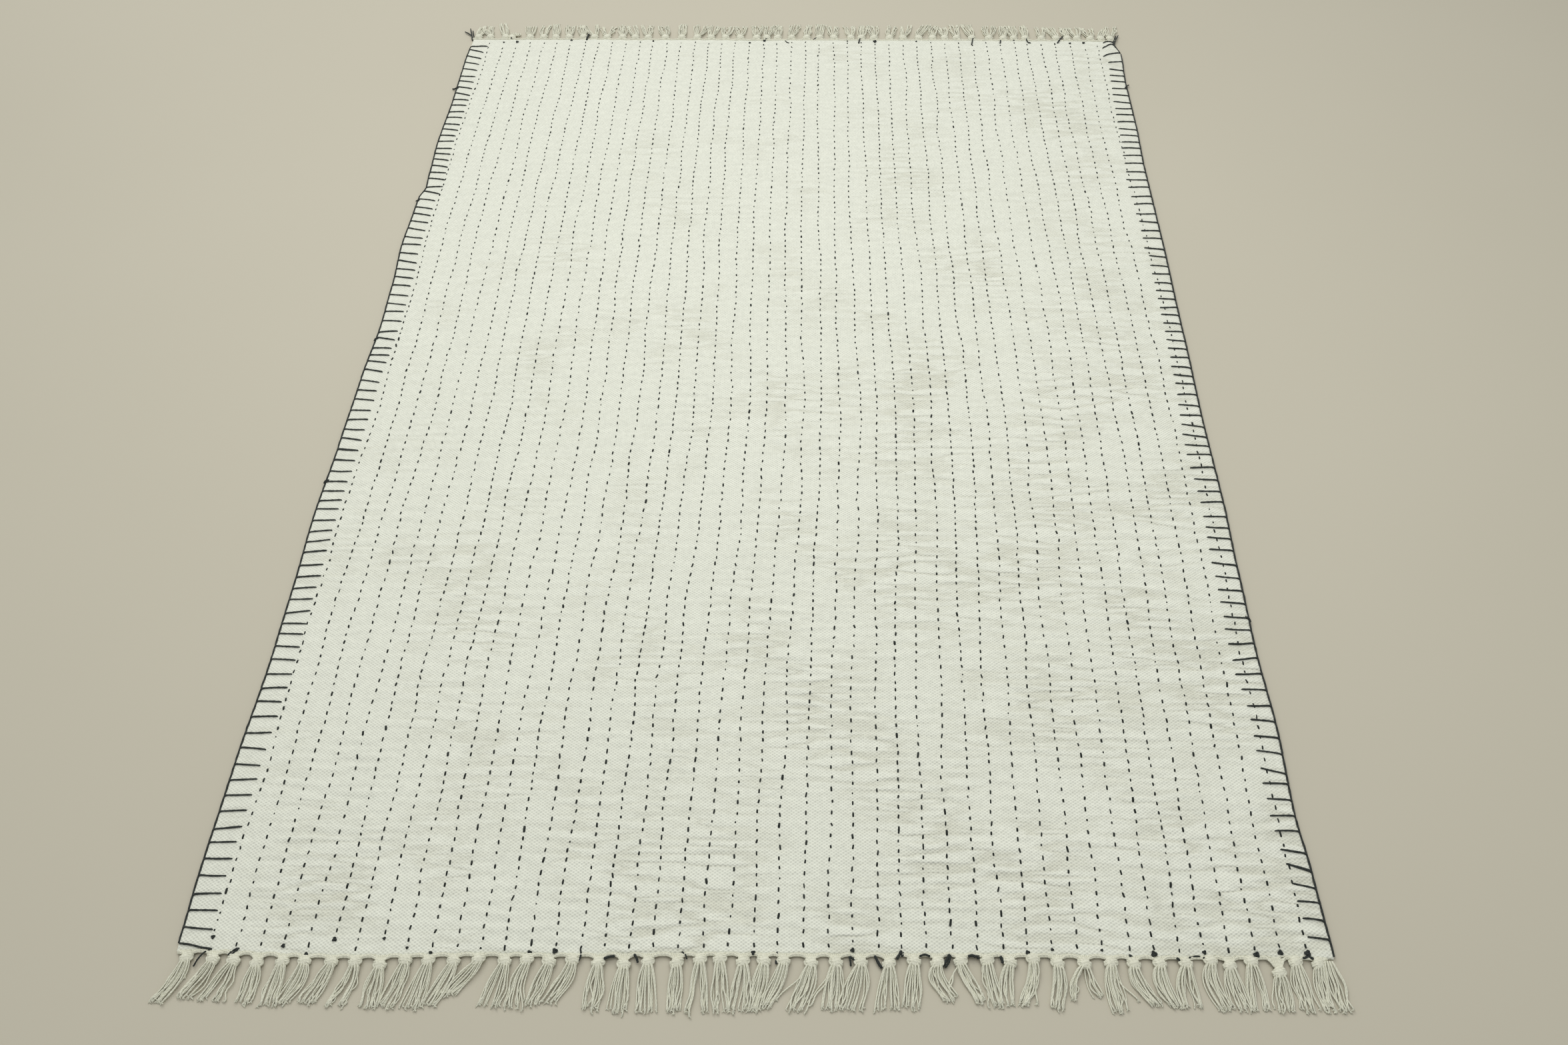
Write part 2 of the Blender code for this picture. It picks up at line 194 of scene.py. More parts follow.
RIGHT_REACH = metres((  # along, a bar's length
    (-970, 25), (-900, 28), (-850, 31), (-650, 33), (-600, 36), (-300, 35), (-190, 38),
    (-130, 36), (-40, 32), (100, 30), (280, 31), (310, 36), (360, 33), (440, 37), (500, 41),
    (540, 36), (750, 34), (860, 29), (920, 30),
))
EDGE_BAY = 0.0008
THREAD_RADIUS = 0.00116

# The knots at the ends of some rows, and the loose tails beside them
NEAR_KNOTS = (  # row, in from the hem, size
    (0, 18, 2.6), (3, 11, 2.6), (4, 2, 2.6), (5, 21, 3), (7, 22, 2), (8, 10, 1.9), (9, 3, 2.3),
    (11, 8, 1.4), (13, 3, 2.8), (14, 5, 3.4), (22, 2, 2.8), (23, -9, 2.6), (26, 6, 2.8),
    (28, 1, 3), (31, -2, 2.8), (33, 4, 2.8), (34, 8, 2), (36, 8, 1.8), (37, 1, 2.6), (38, 4, 3.8),
    (40, 7, 2.6), (42, 4, 3.8), (43, 7, 3.4), (44, 6, 4),
)
FAR_KNOTS = (  # row, in from the hem, size
    (1, 14, 2.2), (2, 13, 3.2), (6, 6, 2.6), (12, 8, 2.2), (19, 14, 2.4), (20, 6, 3),
    (26, 7, 1.8), (28, 9, 3.8), (31, 7, 2.2), (38, 1, 2.2), (42, 13, 2.6), (43, 11, 3),
)
NEAR_TAILS = metres((  # radius, then points as (across, out from the hem)
    (1, (-660, -3), (-667, 2), (-673, 10), (-675.5, 18)),
    (1.2, (-628, -5), (-632, -2), (-636, 3.5)), (1.2, (-626, -5), (-629, -1), (-634, 4.5)),
    (1.1, (-206.5, -8), (-205, -1), (-206, 5), (-210.5, 9)),
    (1.7, (-176, 4.5), (-170, 2.5), (-164, 2)), (1.6, (-140, 0), (-137, 4), (-135, 9)),
    (1, (-82, -3), (-78, 0.5), (-76, 5.5)), (1.3, (120, 2), (121.5, 7), (122, 12.5)),
    (1.3, (121, 2), (125, 5), (128.5, 7)), (1.8, (151, 1.5), (155, 9), (159, 15)),
    (1.8, (182.5, -4), (180, 1), (178, 5)), (1.4, (205, 2), (211, 0), (217, 2)),
    (1.7, (241, 0), (236, 8), (230, 16.5)), (1.5, (242, 1), (240, 8), (235.5, 14.5)),
    (1.8, (264, 2), (268, 1), (272, 2.5)), (2, (302, 2), (304, 6), (304.5, 9)),
    (1.7, (513, 1), (517, 4), (524, 12)), (1.3, (528, 0), (538, -2), (546, 0)),
    (1.6, (664, 0), (670, -2), (675, 1)),
))
FAR_TAILS = metres((  # radius, then points as (across, out from the hem)
    (1.3, (-689, -1), (-691, 11), (-699, 21), (-710, 30)),
    (1.2, (-689, 3), (-695, 24), (-700, 42)), (1.2, (-687, 10), (-691, 24), (-693, 33)),
    (1.9, (-602, 0), (-601.5, 4), (-601, 7)), (2, (-435.5, -3), (-435, 8), (-434, 19)),
    (1, (-47.5, -2), (-43, 1), (-38, 4)), (1, (-1, -7), (2, -12), (6, -14)),
    (1.3, (60, -1), (63, 1), (66, 6)), (1.5, (158, -14), (159, -7), (161, 2)),
    (1.4, (401, -20), (403, -8), (405, 2), (409, 5)), (1.5, (462.5, -13), (464, -4)),
    (1.3, (520, 3), (521, -5), (523, -11), (527, -12)),
    (1.6, (586, -11), (591, -1), (597, 10), (600, 16)), (1.2, (705, -18), (712, 4), (719.5, 22)),
    (1.2, (704, -16), (708, 2), (714.5, 20)),
))
LEFT_TAILS = metres((  # radius, then points as (out from the edge, along)
    (1.5, (-2, 822), (4, 820), (9, 821)), (1.3, (-2, 66), (1, 64), (2, 60)),
    (1.5, (-3, -257), (1, -259), (2, -263)), (1, (-1, 447), (2, 446), (4, 445)),
))
RIGHT_TAILS = metres((  # radius, then points as (out from the edge, along)
    (1.2, (-2, 817), (2, 823), (6, 828)), (1, (-3, -503), (1, -506), (2, -511)),
))
CORNER_THREADS = metres((  # radius, then points as (across, along), on the cloth
    (1.25, (-700.5, -999), (-687, -1000.5), (-673, -1003.5), (-660, -1005)),
    (1.25, (-686.5, 979), (-672, 978.5), (-660, 979), (-651, 978.5)),
    (1.3, (714.5, 943.5), (705.5, 943), (697, 941), (687.5, 938), (678, 932)),
    (1.25, (708, 962), (704, 975), (698, 977.5), (690, 972), (680, 962)),
    (1.15, (707, 977), (702.5, 985), (696.5, 988), (690, 987), (684, 983)),
    (0.9, (714.5, 946), (711, 955), (708, 963), (704, 979)),
))

# The camera that the photograph was taken from
CAMERA_PLACE = (0.0816, -1.5478, 1.5460)
CAMERA_PITCH = 51.797
CAMERA_YAW = -2.617
CAMERA_ROLL = 1.671
CAMERA_LENS = 29.43

UP = np.array((0.0, 0.0, 1.0))


def read_table(table, at, column):
    """The values of one column at places, eased between the rows on either side of each."""
    places = np.array([row[0] for row in table])
    values = np.array([row[column] for row in table])
    at = np.clip(at, places[0], places[-1])
    after = np.clip(np.searchsorted(places, at), 1, len(places) - 1)
    share = (at - places[after - 1]) / (places[after] - places[after - 1])
    eased = share * share * (3.0 - 2.0 * share)
    return values[after - 1] + (values[after] - values[after - 1]) * eased


def cloth_point(share_across, share_along):
    """Points of the cloth's outline or inside it, from shares of its width and length."""
    across = (share_across - 0.5) * CLOTH_WIDTH
    along = (share_along - 0.5) * CLOTH_LENGTH
    left = read_table(LEFT_EDGE, along, 1)
    right = read_table(RIGHT_EDGE, along, 1)
    near = read_table(NEAR_HEM, across, 1)
    far = read_table(FAR_HEM, across, 1)
    x = across + left + (right - left) * share_across
    y = along + near + (far - near) * share_along
    return x, y


def edge_line(along, side):
    """The X of a long edge: side is -1 for the left edge and 1 for the right."""
    table = LEFT_EDGE if side < 0 else RIGHT_EDGE
    return side * CLOTH_WIDTH / 2 + read_table(table, along, 1)


def hem_line(across, side):
    """The Y of a hem: side is -1 for the near end and 1 for the far end."""
    table = NEAR_HEM if side < 0 else FAR_HEM
    return side * CLOTH_LENGTH / 2 + read_table(table, across, 1)


def wave_set(seed, count, shortest, longest, turn):
    """Waves of many lengths that run within a turn of the rug's length, as rows of numbers."""
    dice = np.random.default_rng(seed)
    length = dice.uniform(shortest, longest, count)
    heading = dice.uniform(-turn, turn, count)
    start = dice.uniform(0.0, 2 * math.pi, count)
    return np.stack((2 * math.pi / length * np.sin(heading),
                     2 * math.pi / length * np.cos(heading), start), axis=1)


CRINKLES = wave_set(5, 9, 0.012, 0.028, 0.20)
PATCHES = wave_set(6, 6, 0.15, 0.45, 3.1)
LUMPS = wave_set(7, 14, 0.022, 0.070, 3.1)


def sum_waves(waves, x, y):
    """The waves' mean height at places."""
    total = 0.0
    for across, along, start in waves:
        total = total + np.sin(across * x + along * y + start)
    return total / len(waves)


def row_drift(x, y):
    """How far a row of stitches has drifted to the right at a place."""
    left, middle, right = (read_table(ROW_DRIFT, y, column) for column in (1, 2, 3))
    share = np.clip(x / 0.66, -1.0, 1.0)
    side = np.where(share < 0, left, right)
    return middle + (side - middle) * share * share


def rug_top(x, y):
    """The height of the cloth's top at places."""
    height = CLOTH_THICKNESS + LUMP_HEIGHT * sum_waves(LUMPS, x, y)
    for along, across, half_length, peak, slant in RIPPLES:
        wander = 0.003 * np.sin(38.0 * x + 90.0 * along)
        off_crest = y - along - slant * (x - across) - wander
        fade = np.exp(-((x - across) / half_length) ** 4)
        broad = np.exp(-(off_crest / RIPPLE_REACH) ** 2)
        crest = np.exp(-(off_crest / CREST_REACH) ** 2)
        height = height + peak * fade * (0.55 * broad + 0.55 * crest)
    patch = np.clip(0.5 + 1.6 * sum_waves(PATCHES, x, y) + 0.35 * (x / 0.7) - 0.35 * y, 0.1, 1.4)
    height = height + CRINKLE_HEIGHT * patch * sum_waves(CRINKLES, x, y)
    from_row = (x - FIRST_ROW - row_drift(x, y)) / ROW_PITCH
    height = height - ROW_HOLLOW * np.cos(2 * math.pi * from_row)
    inside = np.minimum(x - edge_line(y, -1), edge_line(y, 1) - x)
    inside = np.minimum(inside, np.minimum(y - hem_line(x, -1), hem_line(x, 1) - y))
    return height - EDGE_ROUNDING * np.exp(-np.maximum(inside, 0.0) / EDGE_ROUNDING)


def bays(place, ties, depth):
    """How far an edge draws back between the places where it is tied."""
    turn = np.interp(place, ties, np.arange(len(ties)))
    return depth * (0.5 - 0.5 * np.cos(2 * math.pi * turn))


class Strands:
    """Many yarns or threads, gathered as tubes into one mesh."""

    def __init__(self):
        self.points = []
        self.quads = []
        self.quad_maps = []
        self.caps = []
        self.cap_maps = []
        self.count = 0

    def add(self, path, radius, sides=6, flatten=1.0):
        """Add a tube with round ends along a path, of one radius or one for each point."""
        path = np.asarray(path, dtype=float)
        rings = len(path)
        radius = np.broadcast_to(np.asarray(radius, dtype=float), rings)
        steps = np.linalg.norm(np.diff(path, axis=0), axis=1)
        run = np.concatenate(((0.0,), np.cumsum(steps)))
        along = np.gradient(path, axis=0)
        along /= np.maximum(np.linalg.norm(along, axis=1), 1e-9)[:, None]
        side = np.cross(along, UP)
        side[np.linalg.norm(side, axis=1) < 1e-3] = (1.0, 0.0, 0.0)
        side /= np.linalg.norm(side, axis=1)[:, None]
        lift = np.cross(side, along) * flatten
        angle = np.arange(sides) * 2 * math.pi / sides
        spokes = (side[:, None, :] * np.cos(angle)[None, :, None]
                  + lift[:, None, :] * np.sin(angle)[None, :, None])
        tube = (path[:, None, :] + spokes * radius[:, None, None]).reshape(-1, 3)
        ends = np.stack((path[0] - along[0] * radius[0] * 0.6,
                         path[-1] + along[-1] * radius[-1] * 0.6))
        first = self.count
        ring, spoke = (grid.reshape(-1, 1) for grid in np.mgrid[:rings - 1, :sides])
        ring = ring + (0, 1, 1, 0)
        spoke = spoke + (0, 0, 1, 1)
        self.quads.append(first + ring * sides + spoke % sides)
        self.quad_maps.append(np.stack((spoke / sides, run[ring]), axis=-1).reshape(-1, 2))
        last = first + (rings - 1) * sides
        pole = np.full(sides, last + sides)
        spoke = np.arange(sides)
        after = (spoke + 1) % sides
        self.caps.append(np.stack((pole, first + spoke, first + after), axis=1))
        self.caps.append(np.stack((pole + 1, last + after, last + spoke), axis=1))
        fan = np.stack((spoke, spoke, spoke + 1), axis=1) / sides
        for place in (0.0, run[-1]):
            self.cap_maps.append(np.stack((fan, np.full_like(fan, place)), -1).reshape(-1, 2))
        self.points.append(np.concatenate((tube, ends)))
        self.count += rings * sides + 2

    def build(self, name, material):
        """Make the object, with a map of turns round each yarn and lengths along it."""
        mesh = bpy.data.meshes.new(name)
        faces = np.concatenate(self.quads).tolist() + np.concatenate(self.caps).tolist()
        mesh.from_pydata(np.concatenate(self.points).tolist(), [], faces)
        layer = mesh.uv_layers.new(name="YarnMap")
        places = np.concatenate(self.quad_maps + self.cap_maps).astype(np.float32)
        layer.uv.foreach_set("vector", places.ravel())
        return dress(name, mesh, material)


def dress(name, mesh, material):
    """Put a mesh in the scene as a smooth piece of the rug."""
    mesh.materials.append(material)
    mesh.update()
    mesh.shade_smooth()
    piece = bpy.data.objects.new(name, mesh)
    bpy.context.scene.collection.objects.link(piece)
    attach(piece, "root")
    return piece


# Materials

class Finish:
    """A node material under construction."""

    def __init__(self, name, roughness):
        self.material = bpy.data.materials.new(name)
        self.material.use_nodes = True
        self.nodes = self.material.node_tree.nodes
        self.links = self.material.node_tree.links
        self.shader = self.nodes["Principled BSDF"]
        self.shader.inputs["Roughness"].default_value = roughness

    def add(self, kind, settings=(), **inputs):
        """Add a node, with its settings as pairs and its inputs as numbers or sockets."""
        node = self.nodes.new(kind)
        for key, value in settings:
            setattr(node, key, value)
        for key, value in inputs.items():
            self.plug(node.inputs[key], value)
        return node

    def plug(self, socket, value):
        """Link a socket's source, or set its number."""
        if isinstance(value, bpy.types.NodeSocket):
            self.links.new(value, socket)
        else:
            socket.default_value = value

    def math(self, operation, first, second=0.0, third=0.0):
        """One step of arithmetic."""
        node = self.add("ShaderNodeMath", (("operation", operation),))
        for socket, value in zip(node.inputs, (first, second, third)):
            self.plug(socket, value)
        return node.outputs[0]

    def mix(self, share, first, second, blend="MIX"):
        """A colour between two colours, or another blend of them."""
        node = self.add("ShaderNodeMix", (("data_type", "RGBA"), ("blend_type", blend)))
        self.plug(node.inputs["Factor"], share)
        for name, value in (("A", first), ("B", second)):
            socket = next(s for s in node.inputs if s.name == name and s.type == "RGBA")
            self.plug(socket, value)
        return next(s for s in node.outputs if s.type == "RGBA")

    def noise(self, place, scale, detail=2.0):
        """Soft noise over places, from 0 to 1."""
        node = self.add("ShaderNodeTexNoise", Vector=place, Scale=scale, Detail=detail)
        return node.outputs["Fac"]

    def bump(self, height, distance, strength=1.0):
        """Raise the surface by a height map."""
        node = self.add("ShaderNodeBump", Height=height, Distance=distance, Strength=strength)
        self.links.new(node.outputs["Normal"], self.shader.inputs["Normal"])

    def spread(self, value, low, high):
        """A value from 0 to 1 stretched or squeezed into another range."""
        return self.math("MULTIPLY_ADD", value, high - low, low)

    def done(self, colour, sheen=0.0, sheen_roughness=0.5, specular=0.25):
        """The material, with its colour and its gloss."""
        self.links.new(colour, self.shader.inputs["Base Color"])
        self.shader.inputs["Sheen Weight"].default_value = sheen
        self.shader.inputs["Sheen Roughness"].default_value = sheen_roughness
        self.shader.inputs["Specular IOR Level"].default_value = specular
        return self.material


def stretch(finish, place, across, along):
    """Places scaled by one amount across the rug and another along it."""
    node = finish.add("ShaderNodeVectorMath", (("operation", "MULTIPLY"),))
    finish.plug(node.inputs[0], place)
    node.inputs[1].default_value = (across, along, 1.0)
    return node.outputs[0]


def creased(finish, place):
    """Fine creases that run across the cloth: more to the right and the near end."""
    wander = finish.noise(stretch(finish, place, 8.0, 44.0), 1.0, 2.0)
    off_line = finish.math("ABSOLUTE", finish.math("SUBTRACT", wander, 0.5))
    line = finish.math("SUBTRACT", 1.0, finish.math("MULTIPLY", off_line, 9.0))
    line = finish.math("SUBTRACT", finish.math("MAXIMUM", line, 0.0), 0.22)
    axes = finish.add("ShaderNodeSeparateXYZ", Vector=place)
    patch = finish.math("MULTIPLY_ADD", finish.noise(place, 6.0, 2.0), 3.4, -1.45)
    patch = finish.math("MULTIPLY_ADD", axes.outputs["X"], 0.45, patch)
    patch = finish.math("MULTIPLY_ADD", axes.outputs["Y"], -0.30, patch)
    patch = finish.math("MINIMUM", finish.math("MAXIMUM", patch, 0.0), 1.0)
    return finish.math("MULTIPLY", line, patch)


def cotton_cloth():
    """Undyed cotton in plain weave: thick weft yarns that pass over and under the warp. Its hollows
    and creases are painted darker as shade.
    """
    finish = Finish("woven cotton", 0.92)
    place = finish.add("ShaderNodeTexCoord").outputs["Object"]
    drift = finish.add("ShaderNodeTexNoise", Vector=place, Scale=60.0, Detail=2.0)
    shifted = finish.add("ShaderNodeVectorMath", (("operation", "MULTIPLY_ADD"),))
    finish.plug(shifted.inputs[0], drift.outputs["Color"])
    shifted.inputs[1].default_value = (0.0034, 0.0024, 0.0)
    finish.plug(shifted.inputs[2], place)
    axes = finish.add("ShaderNodeSeparateXYZ", Vector=shifted.outputs[0])
    warp_turn = finish.math("MULTIPLY", axes.outputs["X"], 2 * math.pi / WARP_PITCH)
    weft_turn = finish.math("MULTIPLY", axes.outputs["Y"], math.pi / WEFT_PITCH)
    weft_wave = finish.math("COSINE", weft_turn)
    lattice = finish.math("MULTIPLY", finish.math("COSINE", warp_turn), weft_wave)
    lattice = finish.math("MULTIPLY_ADD", lattice, 0.5, 0.5)
    fibres = finish.noise(place, 1300.0)
    slubs = finish.noise(place, 170.0, 3.0)
    height = finish.math("MULTIPLY_ADD", fibres, 0.35, lattice)
    height = finish.math("MULTIPLY_ADD", slubs, 0.60, height)
    creases = creased(finish, place)
    swells = finish.noise(stretch(finish, place, 14.0, 85.0), 1.0, 3.0)
    height = finish.math("MULTIPLY_ADD", swells, 2.2, height)
    height = finish.math("MULTIPLY_ADD", creases, -2.2, height)
    finish.bump(height, 0.0006, 0.95)
    stain = finish.noise(place, 3.0, 4.0)
    yarn = finish.mix(stain, (0.690, 0.706, 0.600, 1.0), (0.730, 0.742, 0.640, 1.0))
    # Painted shade: the hollows between the weave's bumps are painted darker. The factor built here
    # and multiplied into the yarn colour below holds this painted shade, the creases' painted
    # shade, and random tone from the swells and slubs.
    hollow_shade = finish.math("POWER", finish.math("SUBTRACT", 1.0, lattice), 2.0)
    painted_shade_and_tone = finish.math("MULTIPLY_ADD", hollow_shade, -0.27, 1.09)
    painted_shade_and_tone = finish.math("MULTIPLY", painted_shade_and_tone, finish.spread(swells, 0.95, 1.05))
    # Painted shade: the creases are painted a darker olive and then darkened further, as the shade
    # that falls in them.
    crease_shade_tint = finish.math("MAXIMUM", finish.math("MULTIPLY", creases, 0.34), 0.0)
    yarn = finish.mix(crease_shade_tint, yarn, (0.47, 0.45, 0.30, 1.0))
    painted_shade_and_tone = finish.math("MULTIPLY", painted_shade_and_tone, finish.spread(creases, 1.0, 0.93))
    painted_shade_and_tone = finish.math("MULTIPLY", painted_shade_and_tone, finish.spread(slubs, 0.88, 1.12))
    return finish.done(finish.mix(1.0, yarn, painted_shade_and_tone, "MULTIPLY"), sheen=0.15, sheen_roughness=0.6)


def plied(name, light, dark, ply_length, roughness, sheen):
    """A yarn of two plies, twisted together, that follows each tube's own map, with painted shade
    in the grooves between the plies.
    """
    finish = Finish(name, roughness)
    yarn_map = finish.add("ShaderNodeUVMap", (("uv_map", "YarnMap"),)).outputs["UV"]
    axes = finish.add("ShaderNodeSeparateXYZ", Vector=yarn_map)
    turns = finish.math("DIVIDE", axes.outputs["Y"], ply_length)
    turns = finish.math("MULTIPLY_ADD", axes.outputs["X"], 2.0, turns)
    ply = finish.math("SINE", finish.math("MULTIPLY", finish.math("FRACT", turns), math.pi))
    place = finish.add("ShaderNodeTexCoord").outputs["Object"]
    fibres = finish.noise(place, 1600.0)
    tone = finish.noise(place, 90.0, 3.0)
    height = finish.math("MULTIPLY_ADD", fibres, 0.45, finish.math("POWER", ply, 0.6))
    finish.bump(height, 0.0003, 0.7)
    # Painted shade: the grooves between the plies are painted towards the dark colour, and the tone
    # noise varies this at random.
    share = finish.spread(finish.math("POWER", ply, 0.7), 0.35, 1.0)
    share = finish.math("MULTIPLY", share, finish.spread(tone, 0.55, 1.35))
    return finish.done(finish.mix(share, dark, light), sheen)


def dark_stitch():
    """The dark thread where only its short stitches show."""
    finish = Finish("dark stitch", 0.85)
    place = finish.add("ShaderNodeTexCoord").outputs["Object"]
    fibres = finish.noise(place, 1500.0)
    tone = finish.noise(place, 45.0, 3.0)
    finish.bump(fibres, 0.0003, 0.8)
    share = finish.math("MULTIPLY", tone, finish.spread(fibres, 0.7, 1.3))
    colour = finish.mix(share, (0.009, 0.012, 0.010, 1.0), (0.029, 0.034, 0.029, 1.0))
    return finish.done(colour, sheen=0.08, specular=0.2)


def floor_finish():
    """A plain pale floor."""
    finish = Finish("pale floor", 0.7)
    place = finish.add("ShaderNodeTexCoord").outputs["Object"]
    tone = finish.noise(place, 1.5, 3.0)
    colour = finish.mix(tone, (0.500, 0.470, 0.370, 1.0), (0.520, 0.490, 0.390, 1.0))
    return finish.done(colour, specular=0.3)


# The cloth

def shares(cells):
    """Shares from 0 to 1, close together at both ends to round the cloth's edge."""
    inner = np.linspace(0.0, 1.0, cells + 1)
    rim = np.array((0.0006, 0.0015)) if cells > 300 else np.array((0.0006, 0.0015, 0.0034))
    return np.concatenate(((0.0,), rim, inner[1:-1], 1.0 - rim[::-1], (1.0,)))


def make_cloth(material, near_knots, far_knots):
    """The woven cloth: a closed sheet with a crinkled top and a flat underside."""
    across, along = shares(140), shares(540)
    columns, rows = len(across), len(along)
    share_across, share_along = np.meshgrid(across, along)
    x, y = cloth_point(share_across, share_along)
    left, right = ([root for root, _ in bars] for bars in (LEFT_BARS, RIGHT_BARS))
    inward = bays(y, left, EDGE_BAY) * np.exp(-share_across / 0.006)
    inward = inward - bays(y, right, EDGE_BAY) * np.exp(-(1 - share_across) / 0.006)
    onward = bays(x, near_knots, HEM_BAY) * np.exp(-share_along / 0.005)
    onward = onward - bays(x, far_knots, HEM_BAY) * np.exp(-(1 - share_along) / 0.005)
    top = np.stack((x + inward, y + onward, rug_top(x, y)), axis=-1).reshape(-1, 3)
    number = np.arange(rows * columns).reshape(rows, columns)
    faces = np.stack((number[:-1, :-1], number[:-1, 1:], number[1:, 1:], number[1:, :-1]),
                     axis=-1).reshape(-1, 4).tolist()
    rim = np.concatenate((number[0, :], number[1:, -1], number[-1, -2::-1], number[-2:0:-1, 0]))
    foot = {old: rows * columns + new for new, old in enumerate(rim)}
    points = np.concatenate((top, top[rim] * (1.0, 1.0, 0.0)))
    for here, there in zip(rim, np.roll(rim, -1)):
        faces.append([int(there), int(here), foot[here], foot[there]])
    for row in range(rows - 1):
        first = [foot[i] for i in number[row] if i in foot]
        second = [foot[i] for i in number[row + 1] if i in foot]
        faces.append(second + first[::-1])
    mesh = bpy.data.meshes.new("rug_cloth")
    mesh.from_pydata(points.tolist(), [], faces)
    piece = dress("rug_cloth", mesh, material)
    mesh.set_sharp_from_angle(angle=math.radians(60))
    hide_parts("cloth")
    return piece


# The running stitches

def stitch_form():
    """One stitch, two long and two wide: an arch of thread whose blunt ends go into the cloth."""
    sides = 6
    points = []
    for along, size, lift in ((-0.80, 0.92, 0.10), (0.0, 1.0, 0.36), (0.80, 0.92, 0.10)):
        for turn in np.arange(sides) * 2 * math.pi / sides:
            points.append((size * math.cos(turn), along, lift + 0.75 * size * math.sin(turn)))
    points += [(0.0, -1.06, -0.50), (0.0, 1.06, -0.50)]
    faces = []
    for ring in (0, sides):
        for spoke in range(sides):
            here, there = ring + spoke, ring + (spoke + 1) % sides
            faces.append((here, there, there + sides, here + sides))
    caps = []
    for spoke in range(sides):
        after = (spoke + 1) % sides
        caps.append((3 * sides, after, spoke))
        caps.append((3 * sides + 1, 2 * sides + spoke, 2 * sides + after))
    return np.array(points), np.array(faces), np.array(caps)


def plan_row(number, dice):
    """One row: its line, as a function of the place along the rug, and its stitches."""
    base = FIRST_ROW + ROW_PITCH * number + dice.gauss(0.0, 0.0007)
    waves = [(dice.uniform(0.12, 0.40), dice.uniform(0.0, 6.3), dice.uniform(0.0003, 0.0009))
             for _ in range(4)]
    waves.append((dice.uniform(0.7, 1.6), dice.uniform(0.0, 6.3), dice.uniform(0.0006, 0.0020)))

    def line(along):
        wander = sum(size * math.sin(2 * math.pi * along / length + start)
                     for length, start, size in waves)
        fade = min(1.0, (1.0 - abs(along)) / 0.08 + 0.25)
        return base + float(row_drift(base, along)) + wander * max(fade, 0.0)

    begun, ended = ({row: metres(inward) for row, inward, _ in knots}
                    for knots in (NEAR_KNOTS, FAR_KNOTS))
    start = float(hem_line(base, -1)) + begun.get(number, 0.0) + dice.uniform(*ROW_MARGIN)
    stop = float(hem_line(base, 1)) - ended.get(number, 0.0) - dice.uniform(*ROW_MARGIN)
    pitch = STITCH_PITCH * dice.gauss(1.0, 0.055)
    swell = dice.uniform(0.0, 6.3)
    stitches = []
    place = start
    while place < stop:
        kind = dice.random()
        length = max(SHORTEST_STITCH, dice.gauss(STITCH_LENGTH, 0.0010))
        length *= 0.95 - 0.08 * place
        width = dice.gauss(STITCH_WIDTH, 0.00022) * (0.97 - 0.05 * place)
        if kind < 0.045:
            length *= 1.28
            width *= 1.22
        elif kind < 0.13:
            length *= 0.52
            width *= 0.82
        lean = (line(place + 0.01) - line(place - 0.01)) / 0.02
        turn = lean + dice.gauss(0.0, 0.10)
        if dice.random() < 0.02:
            turn += dice.choice((-0.30, 0.30))
        across = line(place) + dice.gauss(0.0, 0.0006)
        stitches.append((across, place, length, max(width, NARROWEST_STITCH), turn))
        step = pitch * (1.015 + 0.045 * place + 0.05 * math.sin(place * 5.0 + swell))
        place += max(SHORTEST_STEP, step + dice.gauss(0.0, 0.0014))
        place += 0.5 * (length - STITCH_LENGTH)
    return line, stitches


def make_stitches(name, rows, material):
    """Some of the rows of running stitches, as one mesh."""
    form, quads, caps = stitch_form()
    plan = np.array([stitch for _, stitches in rows for stitch in stitches])
    x, y, length, width, turn = plan.T
    half = form / 2
    local_x, local_y, local_z = (half[:, axis] * size[:, None]
                                 for axis, size in enumerate((width, length, width)))
    cosine, sine = np.cos(turn)[:, None], np.sin(turn)[:, None]
    world_x = x[:, None] + local_x * cosine + local_y * sine
    world_y = y[:, None] + local_y * cosine - local_x * sine
    world_z = rug_top(x, y)[:, None] + local_z
    points = np.stack((world_x, world_y, world_z), axis=-1).reshape(-1, 3)
    firsts = np.arange(len(plan))[:, None, None] * len(form)
    faces = (quads[None] + firsts).reshape(-1, 4).tolist()
    faces += (caps[None] + firsts).reshape(-1, 3).tolist()
    mesh = bpy.data.meshes.new(name)
    mesh.from_pydata(points.tolist(), [], faces)
    dress(name, mesh, material)


# The blanket stitch and the thread's ends

def smooth_path(points, steps):
    """A smooth line through points, with some steps between each two."""
    points = np.asarray(points, dtype=float)
    padded = np.concatenate((2 * points[:1] - points[1:2], points, 2 * points[-1:] - points[-2:-1]))
    path = []
    for before, here, there, beyond in zip(padded, padded[1:], padded[2:], padded[3:]):
        for share in np.arange(steps) / steps:
            ahead = (there - before) / 2
            leave = (beyond - here) / 2
            cube, square = share ** 3, share ** 2
            path.append((2 * cube - 3 * square + 1) * here + (cube - 2 * square + share) * ahead
                        + (3 * square - 2 * cube) * there + (cube - square) * leave)
    path.append(points[-1])
    return np.array(path)


def uneven(radius, count, dice, share=0.10):
    """A thread's radius at each point, a little thick and thin."""
    return [radius * (1.0 + dice.uniform(-share, share)) for _ in range(count)]


def sink_ends(path, radius, start, finish):
    """A path with short ends added that go down into the cloth."""
    path = [tuple(point) for point in path]

    def beyond(end, inner):
        away = np.subtract(end, inner)
        away *= 0.9 * radius / np.linalg.norm(away)
        return end[0] + away[0], end[1] + away[1], end[2] - 1.9 * radius

    before = [beyond(path[0], path[1])] if start else []
    after = [beyond(path[-1], path[-2])] if finish else []
    return before + path + after


